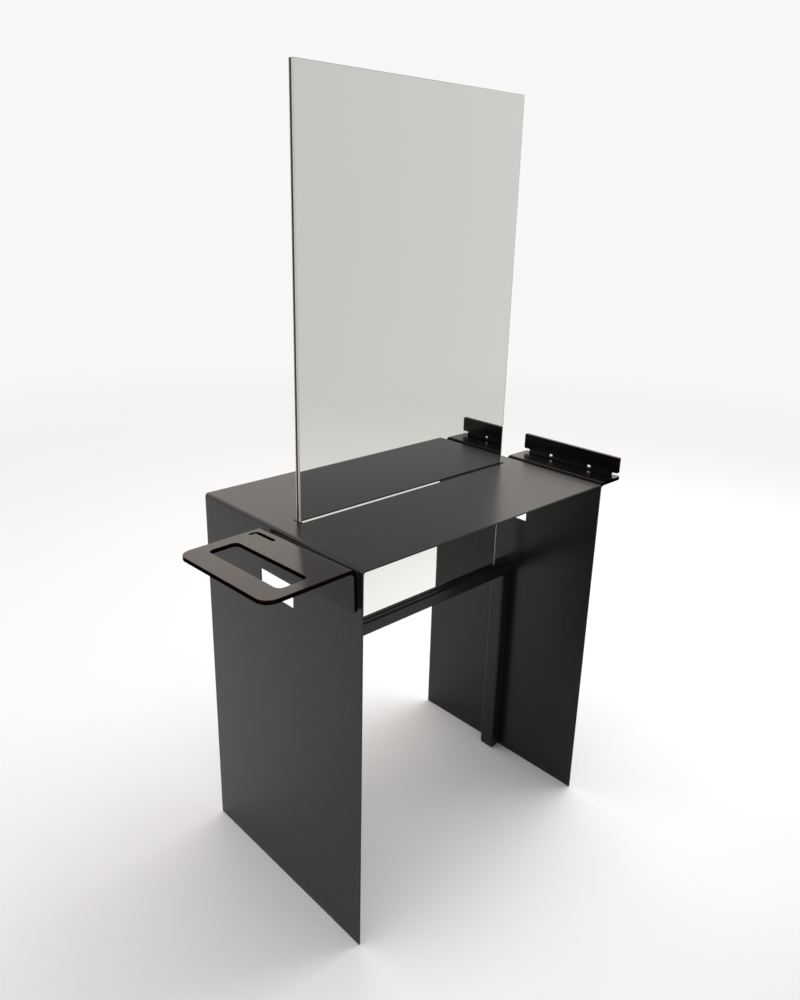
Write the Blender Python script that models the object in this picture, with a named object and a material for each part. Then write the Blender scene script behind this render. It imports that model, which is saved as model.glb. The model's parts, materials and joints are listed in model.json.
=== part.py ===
"""Salon styling station, double sided: a folded steel table, a mirror that stands through a
slot in its top, and two magnetic acrylic trays on its side panels.

Metres, +Z up. The origin is on the floor under the middle of the table. +X is the right side
panel, seen by someone who faces the mirror from the front (-Y) side.
"""

import math

import bmesh
import bpy
from mathutils import Matrix, Vector

# ---- Driving dimensions -------------------------------------------------------------------

GAP = 0.0003  # clearance between pieces that touch

TABLE_WIDTH = 0.701
TABLE_DEPTH = 0.504
TABLE_HEIGHT = 0.810
SHEET = 0.003
SHEET_BEND = 0.007  # outer radius of the table's folds
SHEET_EDGE = 0.0004

WINDOW_LENGTH = 0.106  # hand and cable openings in the side panels
WINDOW_BOTTOM = 0.662
WINDOW_TOP = 0.710

TUBE_WIDE = 0.040
TUBE_NARROW = 0.030
TUBE_WALL = 0.002
TUBE_CORNER = 0.004
CROSSBAR_TOP = 0.542
FOOT_HEAD = 0.005
FOOT_PLUG = 0.012
FOOT_INSET = 0.001
FLOOR_CLEARANCE = 0.0005  # the panels carry the table, and the plastic feet hang just clear

MIRROR_WIDTH = 0.594
MIRROR_TOP = 1.612
PANE = 0.0048
BOND_SHEET = 0.0004
PANE_ARRIS = 0.0007
SLOT_WIDTH = 0.023
SLOT_PAST_LEFT = 0.0022
SLOT_PAST_RIGHT = 0.0065
CHANNEL_WALL = 0.0022
CHANNEL_PROUD = 0.0005
SETTING_BLOCK = (0.080, 0.030, 0.004)
SETTING_BLOCK_AT = 0.170

ACRYLIC = 0.008
ACRYLIC_BEND = 0.008  # inner radius of a tray's folds
ACRYLIC_EDGE = 0.0006
TRAY_TOP = 0.809
TRAY_FRONT = -0.244
TRAY_BACK = 0.0255
FLANGE_BOTTOM = 0.728
FLANGE_CORNER = 0.006

TOOL_TRAY_OUT = 0.5395
TOOL_TRAY_CORNER = 0.025
TOOL_TRAY_DROOP = 1.2  # degrees, from the fold to the outer edge
TOOL_TRAY_TILT = -1.87  # degrees about X: it hangs with its front end a little higher
TOOL_TRAY_LIFT = 0.0025  # how much higher than the right tray it hangs
TOOL_OPENING = (-0.4955, -0.436, -0.2175, -0.0025)  # x from, x to, y from, y to
TOOL_OPENING_CORNER = 0.012
COMB_SLIT_AT = -0.3845  # x of the long arm
COMB_SLIT_ENDS = (-0.0438, 0.0112)  # y of the long arm's front end and of the short arm
COMB_SLIT_ARM_END = -0.3968
COMB_SLIT_BEND = 0.0065
COMB_SLIT_HALF = 0.0038

CLIPPER_TRAY_OUT = 0.437
UPSTAND_TOP = 0.8543
UPSTAND_SETBACK = 0.005  # the plate's ears reach this far past the upstand's outer face
EAR_LENGTH = 0.018
EAR_SLIT = 0.0083
EAR_CORNER = 0.005
UPSTAND_CORNER = 0.003
FOLD_HOLE = (0.014, 0.0055)
FOLD_HOLE_BOTTOM = 0.8135
FOLD_HOLE_AT = (-0.055, 0.055)  # from the tray's middle

PAD = 0.004
PAD_FRONT_INSET = 0.001
PAD_BACK_INSET = 0.018
PAD_CORNER = 0.008
PAD_TOP_INSET = 0.006
PAD_BOTTOM_INSET = 0.003
MAGNET_RADIUS = 0.009
MAGNET = 0.002
MAGNET_SPACING = 0.080
POCKET_CLEARANCE = 0.0004

# ---- Worked out from them -----------------------------------------------------------------

PANEL_OUT = TABLE_WIDTH / 2
PANEL_IN = PANEL_OUT - SHEET
PANE_INNER = BOND_SHEET / 2 + GAP
PANE_OUTER = PANE_INNER + PANE
SLOT_LEFT = -MIRROR_WIDTH / 2 - SLOT_PAST_LEFT
SLOT_RIGHT = MIRROR_WIDTH / 2 + SLOT_PAST_RIGHT
CROSSBAR_BOTTOM = CROSSBAR_TOP - TUBE_NARROW
TUBE_FLOOR = CROSSBAR_BOTTOM + TUBE_WALL
CHANNEL_BOTTOM = TUBE_FLOOR + SETTING_BLOCK[2] + 2 * GAP
MIRROR_BOTTOM = CHANNEL_BOTTOM + CHANNEL_WALL + GAP
CHANNEL_INNER = PANE_OUTER + GAP
CHANNEL_OUTER = CHANNEL_INNER + CHANNEL_WALL
LEG_X = PANEL_IN - GAP - TUBE_NARROW / 2
LEG_BOTTOM = FLOOR_CLEARANCE + FOOT_HEAD + GAP
PAD_FACE = PANEL_OUT + GAP
FLANGE_FACE = PAD_FACE + PAD + GAP
TRAY_MIDDLE = (TRAY_BACK + TRAY_FRONT) / 2
FOLD_OUTER = ACRYLIC_BEND + ACRYLIC

# ---- Materials ----------------------------------------------------------------------------


def material(name, colour, roughness, metallic=0.0):
    made = bpy.data.materials.new(name)
    made.use_nodes = True
    shader = made.node_tree.nodes["Principled BSDF"]
    shader.inputs["Base Color"].default_value = (*colour, 1.0)
    shader.inputs["Roughness"].default_value = roughness
    shader.inputs["Metallic"].default_value = metallic
    return made


def make_materials():
    return {
        "powder_coat": material("powder_coat", (0.018, 0.018, 0.018), 0.45),
        "mirror": material("mirror", (0.86, 0.88, 0.86), 0.02, 1.0),
        "acrylic": material("acrylic", (0.012, 0.009, 0.008), 0.12),
        "rubber": material("rubber", (0.012, 0.012, 0.012), 0.75),
        "plastic": material("plastic", (0.02, 0.02, 0.02), 0.5),
        "bond_sheet": material("bond_sheet", (0.10, 0.11, 0.10), 0.6),
        "magnet": material("magnet", (0.62, 0.60, 0.56), 0.25, 1.0),
    }


# ---- Shapes -------------------------------------------------------------------------------


def clear_scene():
    for item in list(bpy.data.objects):
        bpy.data.objects.remove(item, do_unlink=True)


def arc(centre, radius, start, end, steps):
    """Points on an arc, in degrees, from start to end."""
    points = []
    for i in range(steps + 1):
        angle = math.radians(start + (end - start) * i / steps)
        points.append((centre[0] + radius * math.cos(angle), centre[1] + radius * math.sin(angle)))
    return points


def rounded_rectangle(low, high, radii, steps=6):
    """An outline, anticlockwise from its lower left corner. radii go in the same order."""
    (x0, y0), (x1, y1) = low, high
    signs = ((1, 1), (-1, 1), (-1, -1), (1, -1))
    corners = ((x0, y0), (x1, y0), (x1, y1), (x0, y1))
    outline = []
    for turn, (corner, sign, radius) in enumerate(zip(corners, signs, radii)):
        if radius == 0:
            outline.append(corner)
            continue
        centre = (corner[0] + sign[0] * radius, corner[1] + sign[1] * radius)
        outline += arc(centre, radius, 180 + 90 * turn, 270 + 90 * turn, steps)
    return outline


AXES = {
    "x": lambda u, v, w: (w, u, v),  # an outline in (y, z), extruded along X
    "y": lambda u, v, w: (u, w, v),  # an outline in (x, z), extruded along Y
    "z": lambda u, v, w: (u, v, w),  # an outline in (x, y), extruded along Z
}


def prism(name, outline, axis, low, high):
    """A closed solid: the outline, extruded along one axis from low to high."""
    place = AXES[axis]
    work = bmesh.new()
    base = work.faces.new([work.verts.new(place(u, v, low)) for u, v in outline])
    grown = bmesh.ops.extrude_face_region(work, geom=[base])
    moved = [item for item in grown["geom"] if isinstance(item, bmesh.types.BMVert)]
    bmesh.ops.translate(work, verts=moved, vec=place(0.0, 0.0, high - low))
    bmesh.ops.recalc_face_normals(work, faces=work.faces)
    mesh = bpy.data.meshes.new(name)
    work.to_mesh(mesh)
    work.free()
    made = bpy.data.objects.new(name, mesh)
    bpy.context.scene.collection.objects.link(made)
    return made


def box(name, low, high):
    outline = rounded_rectangle(low[:2], high[:2], (0, 0, 0, 0))
    return prism(name, outline, "z", low[2], high[2])


def disc(name, centre, radius, low, high, steps=32):
    """A round solid along X, centred on (y, z)."""
    return prism(name, arc(centre, radius, 0, 360 - 360 / steps, steps - 1), "x", low, high)


def boolean(target, tool, operation):
    """Combines target with tool. The tool stays as a hidden guide and moves with the target."""
    tool.hide_render = True
    tool.display_type = "WIRE"
    tool.parent = target
    modifier = target.modifiers.new(tool.name, "BOOLEAN")
    modifier.operation = operation
    modifier.solver = "EXACT"
    modifier.object = tool


def cut(target, tool):
    boolean(target, tool, "DIFFERENCE")


def join(target, tool):
    boolean(target, tool, "UNION")


def keep_inside(target, tool):
    boolean(target, tool, "INTERSECT")


def soften(target, width, segments=2):
    """Breaks the sharp edges by a small round."""
    modifier = target.modifiers.new("edge_break", "BEVEL")
    modifier.width = width
    modifier.segments = segments
    modifier.limit_method = "ANGLE"
    modifier.angle_limit = math.radians(35)
    modifier.use_clamp_overlap = True


def finish(target, look):
    target.data.materials.append(look)
    target.data.shade_smooth()
    target.data.set_sharp_from_angle(angle=math.radians(30))
    return target


# ---- Table --------------------------------------------------------------------------------


def table_shell(looks):
    """Top and both side panels: one sheet, folded twice, with the mirror's slot and a window
    in each panel."""
    inner = SHEET_BEND - SHEET
    left, right = -PANEL_OUT + SHEET_BEND, PANEL_OUT - SHEET_BEND
    level = TABLE_HEIGHT - SHEET_BEND
    outline = [(-PANEL_OUT, 0.0)]
    outline += arc((left, level), SHEET_BEND, 180, 90, 10)
    outline += arc((right, level), SHEET_BEND, 90, 0, 10)
    outline += [(PANEL_OUT, 0.0), (PANEL_IN, 0.0)]
    outline += arc((right, level), inner, 0, 90, 8)
    outline += arc((left, level), inner, 90, 180, 8)
    outline += [(-PANEL_IN, 0.0)]
    shell = prism("table_shell", outline, "y", -TABLE_DEPTH / 2, TABLE_DEPTH / 2)
    slot = box(
        "cut_mirror_slot",
        (SLOT_LEFT, -SLOT_WIDTH / 2, TABLE_HEIGHT - 0.02),
        (SLOT_RIGHT, SLOT_WIDTH / 2, TABLE_HEIGHT + 0.02),
    )
    windows = rounded_rectangle(
        (-WINDOW_LENGTH / 2, WINDOW_BOTTOM), (WINDOW_LENGTH / 2, WINDOW_TOP), (0.001,) * 4, 3
    )
    cut(shell, slot)
    cut(shell, prism("cut_windows", windows, "x", -PANEL_OUT - 0.02, PANEL_OUT + 0.02))
    soften(shell, SHEET_EDGE, 1)
    return finish(shell, looks["powder_coat"])


# ---- Under-frame --------------------------------------------------------------------------


def tube(name, axis, centre, size, low, high):
    """A rectangular tube with round corners, open at both ends."""
    half_u, half_v = size[0] / 2, size[1] / 2
    outer = rounded_rectangle(
        (centre[0] - half_u, centre[1] - half_v),
        (centre[0] + half_u, centre[1] + half_v),
        (TUBE_CORNER,) * 4,
        4,
    )
    bore = rounded_rectangle(
        (centre[0] - half_u + TUBE_WALL, centre[1] - half_v + TUBE_WALL),
        (centre[0] + half_u - TUBE_WALL, centre[1] + half_v - TUBE_WALL),
        (TUBE_CORNER - TUBE_WALL,) * 4,
        2,
    )
    made = prism(name, outer, axis, low, high)
    cut(made, prism("cut_bore_" + name, bore, axis, low - 0.01, high + 0.01))
    return made


def crossbar_tube(looks):
    """Runs from panel to panel under the mirror, whose foot drops into a slot in its top."""
    middle = (0.0, (CROSSBAR_TOP + CROSSBAR_BOTTOM) / 2)
    half = PANEL_IN - GAP
    bar = tube("crossbar_tube", "x", middle, (TUBE_WIDE, TUBE_NARROW), -half, half)
    reach = MIRROR_WIDTH / 2 + 0.003
    slot_half = CHANNEL_OUTER + GAP
    cut(
        bar,
        box(
            "cut_crossbar_slot",
            (-reach, -slot_half, CROSSBAR_TOP - 2 * TUBE_WALL),
            (reach, slot_half, CROSSBAR_TOP + 0.01),
        ),
    )
    return finish(bar, looks["powder_coat"])


def leg_tube(side, looks):
    name = "leg_tube_right" if side > 0 else "leg_tube_left"
    centre = (side * LEG_X, 0.0)
    size = (TUBE_NARROW, TUBE_WIDE)
    leg = tube(name, "z", centre, size, LEG_BOTTOM, CROSSBAR_BOTTOM - GAP)
    return finish(leg, looks["powder_coat"])


def foot_cap(side, looks):
    """A plastic plug in the open lower end of a leg."""
    name = "foot_cap_right" if side > 0 else "foot_cap_left"
    x = side * LEG_X
    half_u, half_v = TUBE_NARROW / 2 - FOOT_INSET, TUBE_WIDE / 2 - FOOT_INSET
    head = rounded_rectangle((x - half_u, -half_v), (x + half_u, half_v), (0.003,) * 4, 4)
    bore_u = TUBE_NARROW / 2 - TUBE_WALL - GAP
    bore_v = TUBE_WIDE / 2 - TUBE_WALL - GAP
    plug = rounded_rectangle((x - bore_u, -bore_v), (x + bore_u, bore_v), (0.0015,) * 4, 2)
    top = FLOOR_CLEARANCE + FOOT_HEAD
    cap = prism(name, head, "z", FLOOR_CLEARANCE, top)
    soften(cap, 0.0006)
    join(cap, prism("plug_of_" + name, plug, "z", top - 0.002, top + FOOT_PLUG))
    return finish(cap, looks["plastic"])


# ---- Mirror -------------------------------------------------------------------------------


def mirror_pane(name, facing, looks):
    """One silvered pane. facing is -1 for the front pane and 1 for the rear one."""
    near, far = sorted((facing * PANE_INNER, facing * PANE_OUTER))
    half = MIRROR_WIDTH / 2
    pane = box(name, (-half, near, MIRROR_BOTTOM), (half, far, MIRROR_TOP))
    soften(pane, PANE_ARRIS, 1)
    return finish(pane, looks["mirror"])


def mirror_bond_sheet(looks):
    """The thin backing that holds the two panes back to back."""
    half = MIRROR_WIDTH / 2 - 0.001
    low = (-half, -BOND_SHEET / 2, MIRROR_BOTTOM + 0.001)
    high = (half, BOND_SHEET / 2, MIRROR_TOP - 0.001)
    return finish(box("mirror_bond_sheet", low, high), looks["bond_sheet"])


def glazing_channel(looks):
    """A rubber channel round the mirror's foot, inside the crossbar's slot."""
    top = CROSSBAR_TOP + CHANNEL_PROUD
    lip = 0.0008
    outline = [
        (-CHANNEL_OUTER, CHANNEL_BOTTOM),
        (CHANNEL_OUTER, CHANNEL_BOTTOM),
        (CHANNEL_OUTER, top - lip),
        (CHANNEL_OUTER - lip, top),
        (CHANNEL_INNER, top),
        (CHANNEL_INNER, MIRROR_BOTTOM - GAP),
        (-CHANNEL_INNER, MIRROR_BOTTOM - GAP),
        (-CHANNEL_INNER, top),
        (-CHANNEL_OUTER + lip, top),
        (-CHANNEL_OUTER, top - lip),
    ]
    reach = MIRROR_WIDTH / 2 + 0.001
    return finish(prism("glazing_channel", outline, "x", -reach, reach), looks["rubber"])


def setting_block(side, looks):
    """A plastic block between the crossbar's floor and the glazing channel."""
    name = "setting_block_right" if side > 0 else "setting_block_left"
    length, depth, height = SETTING_BLOCK
    x = side * SETTING_BLOCK_AT
    low = (x - length / 2, -depth / 2, TUBE_FLOOR + GAP)
    high = (x + length / 2, depth / 2, TUBE_FLOOR + GAP + height)
    block = box(name, low, high)
    soften(block, 0.0005)
    return finish(block, looks["plastic"])


def slot_end_guard(side, looks):
    """A rubber block at the end of the table's slot, notched for the mirror's edge."""
    name = "slot_end_guard_right" if side > 0 else "slot_end_guard_left"
    end = SLOT_RIGHT - GAP if side > 0 else SLOT_LEFT + GAP
    grip = side * (MIRROR_WIDTH / 2 - 0.003)
    edge = side * (MIRROR_WIDTH / 2 + GAP)
    low_x, high_x = sorted((grip, end))
    half = SLOT_WIDTH / 2 - GAP
    level = TABLE_HEIGHT - 0.010
    guard = box(name, (low_x, -half, level), (high_x, half, TABLE_HEIGHT + 0.0004))
    notch_low, notch_high = sorted((grip - side * 0.005, edge))
    inner = PANE_OUTER + GAP
    notch = box(
        "cut_notch_" + name,
        (notch_low, -inner, level - 0.01),
        (notch_high, inner, TABLE_HEIGHT + 0.01),
    )
    cut(guard, notch)
    return finish(guard, looks["rubber"])


# ---- Trays --------------------------------------------------------------------------------


def tray_fold(side, droop, end):
    """The tray's section in (x, z) for the right side: flange, fold and plate out to end."""
    centre = (FLANGE_FACE + FOLD_OUTER, TRAY_TOP - FOLD_OUTER)
    outline = [(FLANGE_FACE, FLANGE_BOTTOM)]
    outline += arc(centre, FOLD_OUTER, 180, 90 - droop, 10)
    outline += end
    outline += arc(centre, ACRYLIC_BEND, 90 - droop, 180, 8)
    outline += [(FLANGE_FACE + ACRYLIC, FLANGE_BOTTOM)]
    return [(side * x, z) for x, z in outline]


def round_corners(tray, radii):
    """Rounds the flange's two lower corners, and the two at the tray's highest edge."""
    outline = rounded_rectangle((TRAY_FRONT, FLANGE_BOTTOM), (TRAY_BACK, UPSTAND_TOP), radii)
    keep_inside(tray, prism("keep_side_of_" + tray.name, outline, "x", -0.6, 0.6))


def comb_slit():
    """A slit in plan: a long arm beside the fold, with a short arm at its rear end."""
    front, rear = COMB_SLIT_ENDS
    bend = (COMB_SLIT_AT - COMB_SLIT_BEND, rear - COMB_SLIT_BEND)
    outline = arc(bend, COMB_SLIT_BEND + COMB_SLIT_HALF, 90, 0, 6)
    outline += arc((COMB_SLIT_AT, front), COMB_SLIT_HALF, 0, -180, 6)
    outline += arc(bend, COMB_SLIT_BEND - COMB_SLIT_HALF, 0, 90, 6)
    outline += arc((COMB_SLIT_ARM_END, rear), COMB_SLIT_HALF, 270, 90, 6)
    return prism("cut_comb_slit", outline, "z", TRAY_TOP - 0.02, TRAY_TOP + 0.01)


def tool_tray(looks):
    """Hangs on the left panel, with a large opening for handles and a slit for a comb."""
    slope = math.tan(math.radians(TOOL_TRAY_DROOP))
    rise = FOLD_OUTER / math.cos(math.radians(TOOL_TRAY_DROOP)) - FOLD_OUTER
    edge_top = TRAY_TOP + rise - slope * (TOOL_TRAY_OUT - FLANGE_FACE - FOLD_OUTER)
    end = [(TOOL_TRAY_OUT, edge_top), (TOOL_TRAY_OUT, edge_top - ACRYLIC)]
    tray = prism("tool_tray", tray_fold(-1, TOOL_TRAY_DROOP, end), "y", TRAY_FRONT, TRAY_BACK)
    plan = rounded_rectangle(
        (-TOOL_TRAY_OUT, TRAY_FRONT),
        (0.0, TRAY_BACK),
        (TOOL_TRAY_CORNER, 0, 0, TOOL_TRAY_CORNER),
        8,
    )
    keep_inside(tray, prism("keep_plan_of_tool_tray", plan, "z", 0.6, 0.9))
    round_corners(tray, (FLANGE_CORNER, FLANGE_CORNER, 0, 0))
    x0, x1, y0, y1 = TOOL_OPENING
    opening = rounded_rectangle((x0, y0), (x1, y1), (TOOL_OPENING_CORNER,) * 4)
    cut(tray, prism("cut_tool_opening", opening, "z", TRAY_TOP - 0.02, TRAY_TOP + 0.01))
    cut(tray, comb_slit())
    soften(tray, ACRYLIC_EDGE)
    return finish(tray, looks["acrylic"])


def upstand_section():
    """The right tray's outer fold and upstand, as the end of its section in (x, z)."""
    face = CLIPPER_TRAY_OUT - UPSTAND_SETBACK
    centre = (face - FOLD_OUTER, TRAY_TOP - ACRYLIC + FOLD_OUTER)
    end = arc(centre, ACRYLIC_BEND, 270, 360, 8)
    end += [(face - ACRYLIC, UPSTAND_TOP), (face, UPSTAND_TOP)]
    end += arc(centre, FOLD_OUTER, 360, 270, 10)
    return end


def free_the_ears(tray, start_of_fold):
    """At both ends the fold is cut away and the plate goes on flat, as a short ear."""
    past = 0.01
    level = TRAY_TOP + EAR_SLIT
    round_end = EAR_SLIT / 2
    slit = [(-past, TRAY_TOP - ACRYLIC - past), (EAR_LENGTH, TRAY_TOP - ACRYLIC - past)]
    slit += arc((EAR_LENGTH - round_end, level - round_end), round_end, 0, 90, 6)
    slit += arc((UPSTAND_CORNER, level + UPSTAND_CORNER), UPSTAND_CORNER, 270, 180, 4)
    slit += [(-past, level + UPSTAND_CORNER)]
    for name, end, inward in (("front", TRAY_FRONT, 1), ("back", TRAY_BACK, -1)):
        outline = [(end + inward * distance, z) for distance, z in slit]
        cut(tray, prism("cut_slit_" + name, outline, "x", start_of_fold, CLIPPER_TRAY_OUT + past))
        low_y, high_y = sorted((end, end + inward * EAR_LENGTH))
        radii = (0, EAR_CORNER, 0, 0) if inward > 0 else (0, 0, EAR_CORNER, 0)
        low = (start_of_fold - 0.002, low_y)
        ear = rounded_rectangle(low, (CLIPPER_TRAY_OUT, high_y), radii)
        join(tray, prism("ear_" + name, ear, "z", TRAY_TOP - ACRYLIC, TRAY_TOP))


def clipper_tray(looks):
    """Hangs on the right panel. Its outer edge turns up, so that clippers can lean on it."""
    start_of_fold = CLIPPER_TRAY_OUT - UPSTAND_SETBACK - FOLD_OUTER
    tray = prism("clipper_tray", tray_fold(1, 0, upstand_section()), "y", TRAY_FRONT, TRAY_BACK)
    round_corners(tray, (FLANGE_CORNER, FLANGE_CORNER, UPSTAND_CORNER, UPSTAND_CORNER))
    free_the_ears(tray, start_of_fold)
    length, height = FOLD_HOLE
    for i, offset in enumerate(FOLD_HOLE_AT):
        low = (TRAY_MIDDLE + offset - length / 2, FOLD_HOLE_BOTTOM)
        high = (low[0] + length, FOLD_HOLE_BOTTOM + height)
        hole = rounded_rectangle(low, high, (height / 2 - GAP,) * 4)
        cut(tray, prism(f"cut_fold_hole_{i}", hole, "x", start_of_fold, CLIPPER_TRAY_OUT))
    soften(tray, ACRYLIC_EDGE)
    return finish(tray, looks["acrylic"])


def magnet_places():
    middle = ((TRAY_FRONT + PAD_FRONT_INSET) + (TRAY_BACK - PAD_BACK_INSET)) / 2
    level = (FLANGE_BOTTOM + TRAY_TOP) / 2
    return [(middle + i * MAGNET_SPACING, level) for i in (-1, 0, 1)]


def magnet_pad(name, side, looks):
    """A rubber pad between a tray's flange and the panel, with a pocket for each magnet."""
    outline = rounded_rectangle(
        (TRAY_FRONT + PAD_FRONT_INSET, FLANGE_BOTTOM + PAD_BOTTOM_INSET),
        (TRAY_BACK - PAD_BACK_INSET, TRAY_TOP - PAD_TOP_INSET),
        (PAD_CORNER,) * 4,
        5,
    )
    low, high = sorted((side * PAD_FACE, side * (PAD_FACE + PAD)))
    pad = prism(name, outline, "x", low, high)
    depth = MAGNET + GAP + 2 * POCKET_CLEARANCE
    for i, place in enumerate(magnet_places()):
        low, high = sorted((side * (PAD_FACE - 0.005), side * (PAD_FACE + depth)))
        cut(pad, disc(f"cut_pocket_{name}_{i}", place, MAGNET_RADIUS + POCKET_CLEARANCE, low, high))
    soften(pad, 0.0008)
    return finish(pad, looks["rubber"])


def magnet(name, side, place, looks):
    near = PAD_FACE + POCKET_CLEARANCE
    low, high = sorted((side * near, side * (near + MAGNET)))
    made = disc(name, place, MAGNET_RADIUS, low, high)
    soften(made, 0.0003, 1)
    return finish(made, looks["magnet"])


# ---- The whole station --------------------------------------------------------------------


def parent_to_empty(name, pieces, place, lift=0.0, tilt=0.0):
    """Hangs pieces on an empty at place, raised by lift and turned about X by tilt degrees."""
    empty = bpy.data.objects.new(name, None)
    bpy.context.scene.collection.objects.link(empty)
    empty.location = Vector(place) + Vector((0.0, 0.0, lift))
    empty.rotation_euler = (math.radians(tilt), 0.0, 0.0)
    for piece in pieces:
        piece.parent = empty
        piece.matrix_parent_inverse = Matrix.Translation(-Vector(place))


def main():
    clear_scene()
    looks = make_materials()
    table_shell(looks)
    crossbar_tube(looks)
    for side in (-1, 1):
        leg_tube(side, looks)
        foot_cap(side, looks)
        setting_block(side, looks)
        slot_end_guard(side, looks)
    mirror_pane("mirror_pane_front", -1, looks)
    mirror_pane("mirror_pane_rear", 1, looks)
    mirror_bond_sheet(looks)
    glazing_channel(looks)
    for name, side, tray, lift, tilt in (
        ("tool_tray", -1, tool_tray, TOOL_TRAY_LIFT, TOOL_TRAY_TILT),
        ("clipper_tray", 1, clipper_tray, 0.0, 0.0),
    ):
        pieces = [tray(looks), magnet_pad(name + "_pad", side, looks)]
        for i, place in enumerate(magnet_places()):
            pieces.append(magnet(f"{name}_magnet_{i + 1}", side, place, looks))
        place = (side * PANEL_OUT, TRAY_MIDDLE, TRAY_TOP)
        parent_to_empty(name + "_slide", pieces, place, lift, tilt)


main()
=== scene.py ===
"""Looks for the salon styling station: materials for every CAD node, a stage, lights and camera."""

import json
import math

import bpy
from mathutils import Matrix, Vector

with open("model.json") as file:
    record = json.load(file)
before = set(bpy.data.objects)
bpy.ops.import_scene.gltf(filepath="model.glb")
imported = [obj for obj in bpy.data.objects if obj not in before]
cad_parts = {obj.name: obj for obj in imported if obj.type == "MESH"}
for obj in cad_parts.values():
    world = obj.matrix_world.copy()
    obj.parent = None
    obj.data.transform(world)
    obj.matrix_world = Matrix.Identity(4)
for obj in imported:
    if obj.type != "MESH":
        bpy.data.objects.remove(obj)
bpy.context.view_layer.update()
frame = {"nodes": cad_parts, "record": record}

# ---- Node helpers -------------------------------------------------------------------------


class Graph:
    """A small helper to wire one material's nodes."""

    def __init__(self, name):
        self.material = bpy.data.materials.new(name)
        self.material.use_nodes = True
        self.tree = self.material.node_tree
        self.shader = self.tree.nodes["Principled BSDF"]
        self.position = self.add("ShaderNodeTexCoord").outputs["Object"]
        self.normal = self.add("ShaderNodeNewGeometry").outputs["True Normal"]

    def add(self, kind, **settings):
        node = self.tree.nodes.new(kind)
        for key, value in settings.items():
            setattr(node, key, value)
        return node

    def link(self, source, target):
        self.tree.links.new(source, target)

    def set(self, **values):
        """Sets constants on the shader's own sockets."""
        for key, value in values.items():
            self.shader.inputs[key.replace("_", " ")].default_value = value

    def stretched(self, scale):
        """Object coordinates, multiplied by a scale along each axis."""
        mapping = self.add("ShaderNodeMapping")
        mapping.inputs["Scale"].default_value = scale
        self.link(self.position, mapping.inputs["Vector"])
        return mapping.outputs["Vector"]

    def noise(self, scale, detail=3.0, roughness=0.55, stretch=None, distortion=0.0):
        node = self.add("ShaderNodeTexNoise")
        node.inputs["Scale"].default_value = scale
        node.inputs["Detail"].default_value = detail
        node.inputs["Roughness"].default_value = roughness
        node.inputs["Distortion"].default_value = distortion
        self.link(self.stretched(stretch) if stretch else self.position, node.inputs["Vector"])
        return node.outputs["Fac"]

    def cells(self, scale):
        node = self.add("ShaderNodeTexVoronoi", feature="F1")
        node.inputs["Scale"].default_value = scale
        self.link(self.position, node.inputs["Vector"])
        return node.outputs["Distance"]

    def ramp(self, value, low, high, low_out=0.0, high_out=1.0, smooth=False):
        node = self.add("ShaderNodeMapRange")
        node.interpolation_type = "SMOOTHSTEP" if smooth else "LINEAR"
        for key, number in (
            ("From Min", low),
            ("From Max", high),
            ("To Min", low_out),
            ("To Max", high_out),
        ):
            node.inputs[key].default_value = number
        self.link(value, node.inputs["Value"])
        return node.outputs["Result"]

    def math(self, operation, a, b=None):
        node = self.add("ShaderNodeMath", operation=operation)
        for socket, value in ((node.inputs[0], a), (node.inputs[1], b)):
            if isinstance(value, (int, float)):
                socket.default_value = value
            elif value is not None:
                self.link(value, socket)
        return node.outputs[0]

    def mix(self, factor, a, b):
        """A colour between a and b. Each is a tuple or a socket."""
        node = self.add("ShaderNodeMix", data_type="RGBA")
        self.link(factor, node.inputs["Factor"])
        for socket, value in ((node.inputs[6], a), (node.inputs[7], b)):
            if isinstance(value, tuple):
                socket.default_value = (*value, 1.0)
            else:
                self.link(value, socket)
        return node.outputs[2]

    def axis(self, letter, of=None):
        """One component of the normal, or of another vector."""
        node = self.add("ShaderNodeSeparateXYZ")
        self.link(of or self.normal, node.inputs[0])
        return node.outputs[letter]

    def colour(self, socket):
        self.link(socket, self.shader.inputs["Base Color"])

    def roughness(self, socket):
        self.link(socket, self.shader.inputs["Roughness"])

    def metallic(self, socket):
        self.link(socket, self.shader.inputs["Metallic"])

    def bump(self, *layers):
        """Each layer is (height socket, depth in metres). They add up."""
        last = None
        for height, depth in layers:
            node = self.add("ShaderNodeBump")
            node.inputs["Strength"].default_value = 1.0
            node.inputs["Distance"].default_value = depth
            self.link(height, node.inputs["Height"])
            if last:
                self.link(last, node.inputs["Normal"])
            last = node.outputs["Normal"]
        self.link(last, self.shader.inputs["Normal"])


# ---- Materials ----------------------------------------------------------------------------
# Every position is in metres, in the frame's own axes.

SCUFFED_FOOT = (0.002, 0.014)  # heights between which the scuffs on the panels die out
SILVER_ENDS = (0.2940, 0.2942)  # |x| where the silver stops, 3 mm short of the panes' sides
DARK_HEART = (0.0028, 0.0034)  # |y| over which a pane's upright edge turns from its dark glass tone to a painted light-grey highlight
# The left plate's top is where a point's height along PLATE_NORMAL is PLATE_TOP.
PLATE_NORMAL = (-0.02094, 0.03262, 0.99925)
PLATE_TOP = 0.8151
PLATE_THICKNESS = 0.008
PLATE_ENDS = (-0.372, -0.370)  # x where the left plate ends and its fold begins
ARRIS = (0.0012, 0.0006)  # depths below the plate's top over which the arris fades in
FOLD_LEAN = (0.12, 0.32)  # |normal.x * normal.z|, which is high only on a fold


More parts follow.
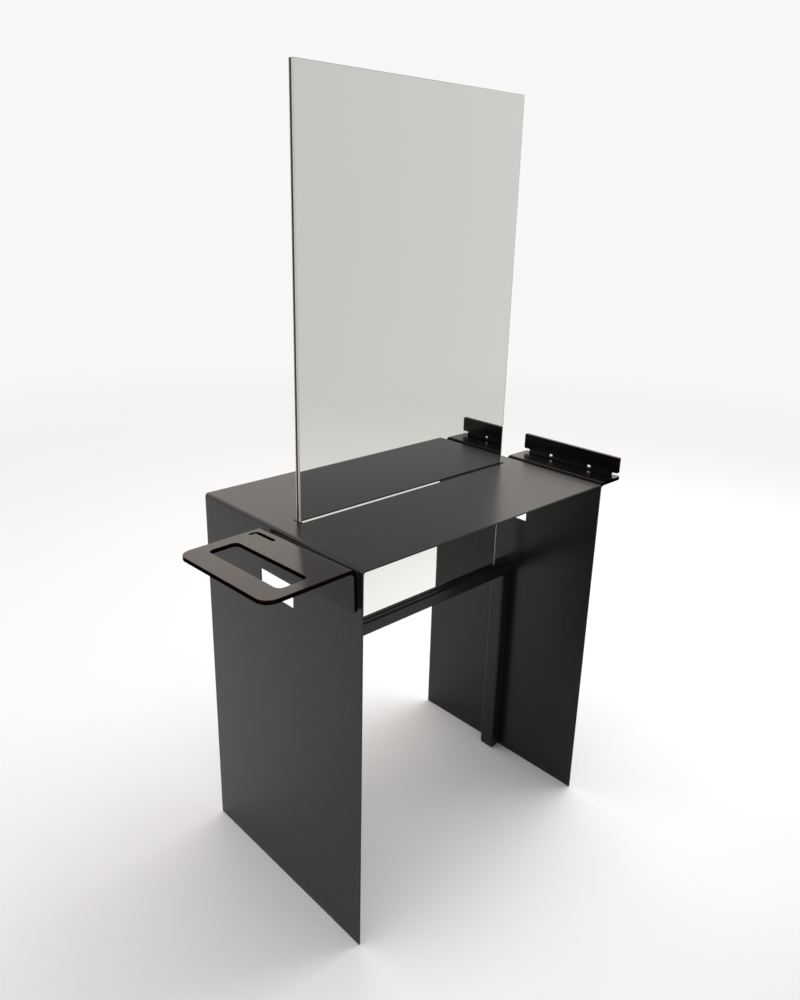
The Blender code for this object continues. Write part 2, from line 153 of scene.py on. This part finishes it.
def powder_coat():
    """Satin black powder coat: fine orange peel over sheet that isn't quite flat."""
    g = Graph("black_powder_coat")
    patches = g.noise(3.0, 2.0)
    grain = g.noise(900.0, 2.0)
    tint = g.mix(patches, (0.0085, 0.0083, 0.0084), (0.0118, 0.0115, 0.0115))
    specks = g.ramp(g.noise(2600.0, 1.0), 0.70, 0.78)
    tint = g.mix(specks, tint, (0.026, 0.026, 0.025))
    # The panels' lower edges are scuffed by the floor and the mop.
    foot = g.ramp(g.axis("Z", g.position), *SCUFFED_FOOT, 1.0, 0.0)
    scuffs = g.math("MULTIPLY", foot, g.ramp(g.noise(55.0, 5.0, 0.7), 0.50, 0.66))
    g.colour(g.mix(scuffs, tint, (0.060, 0.058, 0.055)))
    satin = g.ramp(patches, 0.3, 0.7, 0.23, 0.28)
    satin = g.math("ADD", satin, g.ramp(grain, 0.3, 0.7, 0.0, 0.05))
    g.roughness(g.math("ADD", satin, g.math("MULTIPLY", scuffs, 0.15)))
    g.set(IOR=1.35)
    g.bump(
        (g.noise(1.6, 1.0), 0.0012),
        (g.noise(420.0, 2.0, 0.5), 0.00006),
        (grain, 0.00002),
    )
    return g.material


def mirror_glass():
    """Silvered glass. The unsilvered margin and the ground edges show the bare glass's dark tone,
    with a painted light-grey highlight towards the faces on the upright sides and the margin.
    """
    g = Graph("mirror_glass")
    facing = g.ramp(g.math("ABSOLUTE", g.axis("Y")), 0.90, 0.97)
    across = g.math("ABSOLUTE", g.axis("X", g.position))
    silvered = g.math("MULTIPLY", facing, g.ramp(across, *SILVER_ENDS, 1.0, 0.0))
    smudge = g.noise(5.0, 4.0, 0.6)
    depth = g.math("ABSOLUTE", g.axis("Y", g.position))
    grind = g.noise(70.0, 2.0)
    deep = g.mix(grind, (0.012, 0.016, 0.012), (0.030, 0.036, 0.028))
    # A light grey painted on the unsilvered glass as the highlight along the mirror's sides.
    painted_edge_highlight = g.mix(grind, (0.64, 0.61, 0.56), (0.72, 0.69, 0.64))
    upright = g.ramp(g.math("ABSOLUTE", g.axis("Z")), 0.4, 0.6, 1.0, 0.0)
    # Bare glass: its dark tone mid-thickness, the painted highlight towards the faces.
    glass = g.mix(g.math("MULTIPLY", g.ramp(depth, *DARK_HEART), upright), deep, painted_edge_highlight)
    silver = g.mix(smudge, (0.915, 0.915, 0.885), (0.935, 0.94, 0.91))
    g.colour(g.mix(silvered, glass, silver))
    g.metallic(silvered)
    polished = g.ramp(smudge, 0.35, 0.75, 0.008, 0.028)
    ground = g.ramp(g.noise(700.0, 2.0), 0.3, 0.7, 0.12, 0.22)
    face = g.math("MULTIPLY", facing, polished)
    rim = g.math("MULTIPLY", g.math("SUBTRACT", 1.0, facing), ground)
    g.roughness(g.math("ADD", face, rim))
    g.bump((g.noise(2.2, 1.0), 0.0001))
    return g.material


def acrylic():
    """Satin black acrylic, a little scuffed, with near-black cut edges and a brown arris."""
    g = Graph("black_acrylic")
    along = g.add("ShaderNodeVectorMath", operation="DOT_PRODUCT")
    g.link(g.position, along.inputs[0])
    along.inputs[1].default_value = PLATE_NORMAL
    height = along.outputs["Value"]
    # An edge faces along Y, or along X within the left plate's thickness.
    ends = g.ramp(g.math("ABSOLUTE", g.axis("Y")), 0.5, 0.8)
    underside = PLATE_TOP - PLATE_THICKNESS
    above = g.ramp(height, underside - 0.0015, underside)
    plate = g.math("MULTIPLY", above, g.ramp(g.axis("X", g.position), *PLATE_ENDS, 1.0, 0.0))
    sides = g.math("MULTIPLY", plate, g.ramp(g.axis("Z"), 0.5, 0.8, 1.0, 0.0))
    cut = g.math("MAXIMUM", ends, sides)
    # The folds get a dark metallic response and extra roughness, so they read darker and duller
    # than the flat sheet.
    sideways = g.math("ABSOLUTE", g.axis("X"))
    leaning = g.math("MULTIPLY", sideways, g.math("ABSOLUTE", g.axis("Z")))
    fold_darkening = g.ramp(leaning, *FOLD_LEAN, 0.0, 0.75)
    dull = g.math("MAXIMUM", cut, fold_darkening)
    film = g.noise(9.0, 3.0)
    scuffs = g.ramp(g.noise(60.0, 6.0, 0.7, (1.0, 9.0, 1.0), 0.6), 0.60, 0.72)
    sheet = g.mix(film, (0.0024, 0.0019, 0.0016), (0.0050, 0.0038, 0.0031))
    striae = g.noise(500.0, 2.0, 0.5, (1.0, 1.0, 0.04))
    edge = g.mix(striae, (0.0020, 0.0012, 0.0009), (0.0060, 0.0036, 0.0028))
    upper = g.ramp(height, *(PLATE_TOP - depth for depth in ARRIS))
    arris = g.math("MULTIPLY", cut, upper)
    edge = g.mix(arris, edge, (0.045, 0.014, 0.010))
    g.colour(g.mix(cut, sheet, edge))
    g.metallic(dull)
    gloss = g.math("ADD", g.ramp(film, 0.3, 0.7, 0.17, 0.23), g.math("MULTIPLY", scuffs, 0.08))
    g.roughness(g.math("ADD", gloss, g.math("MULTIPLY", dull, 0.22)))
    g.set(IOR=1.45, Specular_Tint=(0.4, 0.4, 0.4, 1.0))
    g.bump((g.noise(4.0, 1.0), 0.0006), (g.math("MULTIPLY", striae, cut), 0.00004))
    return g.material


def rubber():
    """Dull black rubber with a faint bloom."""
    g = Graph("black_rubber")
    bloom = g.noise(14.0, 4.0, 0.6)
    g.colour(g.mix(g.ramp(bloom, 0.35, 0.75), (0.0045, 0.0045, 0.0045), (0.009, 0.009, 0.0088)))
    g.roughness(g.ramp(bloom, 0.3, 0.7, 0.62, 0.82))
    g.set(IOR=1.38)
    g.bump((g.noise(380.0, 3.0), 0.00009), (g.cells(1400.0), 0.00003))
    return g.material


def moulded_plastic():
    g = Graph("black_plastic")
    spark = g.cells(1800.0)
    g.colour(g.mix(g.noise(20.0, 3.0), (0.018, 0.018, 0.018), (0.028, 0.028, 0.027)))
    g.roughness(g.ramp(spark, 0.0, 0.6, 0.38, 0.55))
    g.bump((spark, 0.00004), (g.noise(90.0, 2.0), 0.00008))
    return g.material


def bond_film():
    g = Graph("bond_film")
    g.colour(g.mix(g.noise(120.0, 3.0), (0.09, 0.10, 0.09), (0.16, 0.17, 0.155)))
    g.roughness(g.ramp(g.noise(300.0, 2.0), 0.3, 0.7, 0.5, 0.7))
    g.bump((g.noise(900.0, 2.0), 0.00003))
    return g.material


def nickel():
    g = Graph("magnet_nickel")
    wear = g.noise(160.0, 4.0, 0.65)
    g.colour(g.mix(wear, (0.58, 0.56, 0.52), (0.70, 0.68, 0.63)))
    g.roughness(g.ramp(wear, 0.3, 0.7, 0.14, 0.32))
    g.set(Metallic=1.0)
    g.bump((g.noise(700.0, 2.0), 0.00002))
    return g.material


LOOKS = {
    "black_powder_coat": powder_coat(),
    "mirror_glass": mirror_glass(),
    "black_acrylic": acrylic(),
    "black_rubber": rubber(),
    "black_plastic": moulded_plastic(),
    "bond_film": bond_film(),
    "magnet_nickel": nickel(),
}


def dress_nodes():
    for part in frame["record"]["subparts"]:
        node = frame["nodes"][part["node"]]
        look = LOOKS[part["material_slot"]]
        for slot in node.material_slots:
            slot.material = look
        if not node.material_slots:
            node.data.materials.append(look)


# ---- Stage --------------------------------------------------------------------------------

FLOOR_SIDE = 24.0
FLOOR_DROP = 0.0005  # the floor lies this far below the panels' lower edges
FLOOR_FADE = (2.6, 6.0)  # the floor melts into the backdrop between these distances
FLOOR_GREYING = (-1.5, -0.45)  # y over which the floor goes from grey to white
FLOOR_GREY = (0.625, 0.638, 0.636)
FLOOR_WHITE = (0.87, 0.885, 0.905)

# The studio's brightness. Bands of the sky are given by the direction's components.
HORIZON = 0.93
ZENITH = 0.80
PANEL_LEFT = (1.90, 1.72, 1.57)  # the warm light behind the station, at its two sides
PANEL_RIGHT = (2.20, 2.05, 1.93)
FRONT_HORIZON = (0.60, 0.67)  # straight ahead of the mirror, and to its sides
FRONT_SKY = 0.55

KEY_PLACE = (1.6, -0.4, 3.0)
KEY_TARGET = (0.0, 0.0, 0.6)
KEY_SIDE = 1.8
KEY_POWER = 42.0  # watts


def make_floor():
    """A plain pale floor, greyer out to the front, that melts into the backdrop."""
    bpy.ops.mesh.primitive_plane_add(size=FLOOR_SIDE, location=(0.0, 0.0, -FLOOR_DROP))
    floor = bpy.context.object
    floor.name = "stage_floor"
    g = Graph("stage_floor")
    near = g.ramp(g.axis("Y", g.position), *FLOOR_GREYING, smooth=True)
    g.colour(g.mix(near, FLOOR_GREY, FLOOR_WHITE))
    g.set(Roughness=0.9, Specular_IOR_Level=0.1)
    distance = g.add("ShaderNodeVectorMath", operation="LENGTH")
    g.link(g.position, distance.inputs[0])
    fade = g.ramp(distance.outputs["Value"], *FLOOR_FADE, 1.0, 0.0, smooth=True)
    g.link(fade, g.shader.inputs["Alpha"])
    floor.data.materials.append(g.material)


def make_world():
    """Soft studio light: bright behind the object and overhead, greyer from the front."""
    world = bpy.data.worlds.new("studio")
    bpy.context.scene.world = world
    world.use_nodes = True
    tree = world.node_tree
    background = tree.nodes["Background"]
    direction = tree.nodes.new("ShaderNodeTexCoord").outputs["Generated"]
    split = tree.nodes.new("ShaderNodeSeparateXYZ")
    tree.links.new(direction, split.inputs[0])

    def ramp(letter, low, high):
        node = tree.nodes.new("ShaderNodeMapRange")
        node.interpolation_type = "SMOOTHSTEP"
        node.inputs["From Min"].default_value = low
        node.inputs["From Max"].default_value = high
        tree.links.new(split.outputs[letter], node.inputs["Value"])
        return node.outputs["Result"]

    def mix(factor, a, b):
        node = tree.nodes.new("ShaderNodeMix")
        node.data_type = "RGBA"
        tree.links.new(factor, node.inputs["Factor"])
        for socket, value in ((node.inputs[6], a), (node.inputs[7], b)):
            if isinstance(value, float):
                value = (value, value, value)
            if isinstance(value, tuple):
                socket.default_value = (*value, 1.0)
            else:
                tree.links.new(value, socket)
        return node.outputs[2]

    panel = mix(ramp("X", 0.55, 0.78), PANEL_LEFT, PANEL_RIGHT)
    behind = mix(ramp("Z", 0.24, 0.37), HORIZON, panel)
    behind = mix(ramp("Z", 0.50, 0.90), behind, ZENITH)
    ahead = mix(ramp("Y", -0.85, -0.55), *FRONT_HORIZON)
    ahead = mix(ramp("Z", 0.18, 0.42), ahead, FRONT_SKY)
    light = mix(ramp("Y", -0.35, 0.15), ahead, behind)
    # Seen directly, the studio is one even, pale backdrop.
    seen = tree.nodes.new("ShaderNodeLightPath").outputs["Is Camera Ray"]
    light = mix(seen, light, HORIZON)
    tree.links.new(light, background.inputs["Color"])
    background.inputs["Strength"].default_value = 1.0


def make_key_light():
    """A soft, square lamp above the station's right side."""
    data = bpy.data.lights.new("key", "AREA")
    data.shape = "SQUARE"
    data.size = KEY_SIDE
    data.energy = KEY_POWER
    lamp = bpy.data.objects.new("key", data)
    bpy.context.scene.collection.objects.link(lamp)
    lamp.location = KEY_PLACE
    lamp.visible_glossy = False  # a softbox would show as a white patch in the mirror
    towards = Vector(KEY_TARGET) - Vector(KEY_PLACE)
    lamp.rotation_euler = towards.to_track_quat("-Z", "Y").to_euler()


# ---- Camera -------------------------------------------------------------------------------

CAMERA_PLACE = (-1.1621, -1.1863, 1.3946)
CAMERA_HEADING = 43.489  # degrees from +Y towards +X
CAMERA_PITCH = -18.507
CAMERA_ROLL = 1.356
LENS = 29.40  # millimetres
SENSOR = 36.0  # millimetres
SHIFT = (0.0024, -0.0243)


def make_camera():
    data = bpy.data.cameras.new("camera")
    data.lens = LENS
    data.sensor_width = SENSOR
    data.sensor_fit = "AUTO"
    data.shift_x, data.shift_y = SHIFT
    data.clip_start = 0.05
    camera = bpy.data.objects.new("camera", data)
    bpy.context.scene.collection.objects.link(camera)
    heading, pitch, roll = (math.radians(v) for v in (CAMERA_HEADING, CAMERA_PITCH, CAMERA_ROLL))
    forward = Vector(
        (
            math.sin(heading) * math.cos(pitch),
            math.cos(heading) * math.cos(pitch),
            math.sin(pitch),
        )
    )
    level_right = Vector((math.cos(heading), -math.sin(heading), 0.0))
    level_up = level_right.cross(forward)
    right = math.cos(roll) * level_right + math.sin(roll) * level_up
    up = -math.sin(roll) * level_right + math.cos(roll) * level_up
    turn = Matrix((right, up, -forward)).transposed().to_4x4()
    camera.matrix_world = Matrix.Translation(CAMERA_PLACE) @ turn
    bpy.context.scene.camera = camera


dress_nodes()
make_floor()
make_world()
make_key_light()
make_camera()

view = bpy.context.scene.view_settings
view.view_transform = "Standard"
view.look = "None"
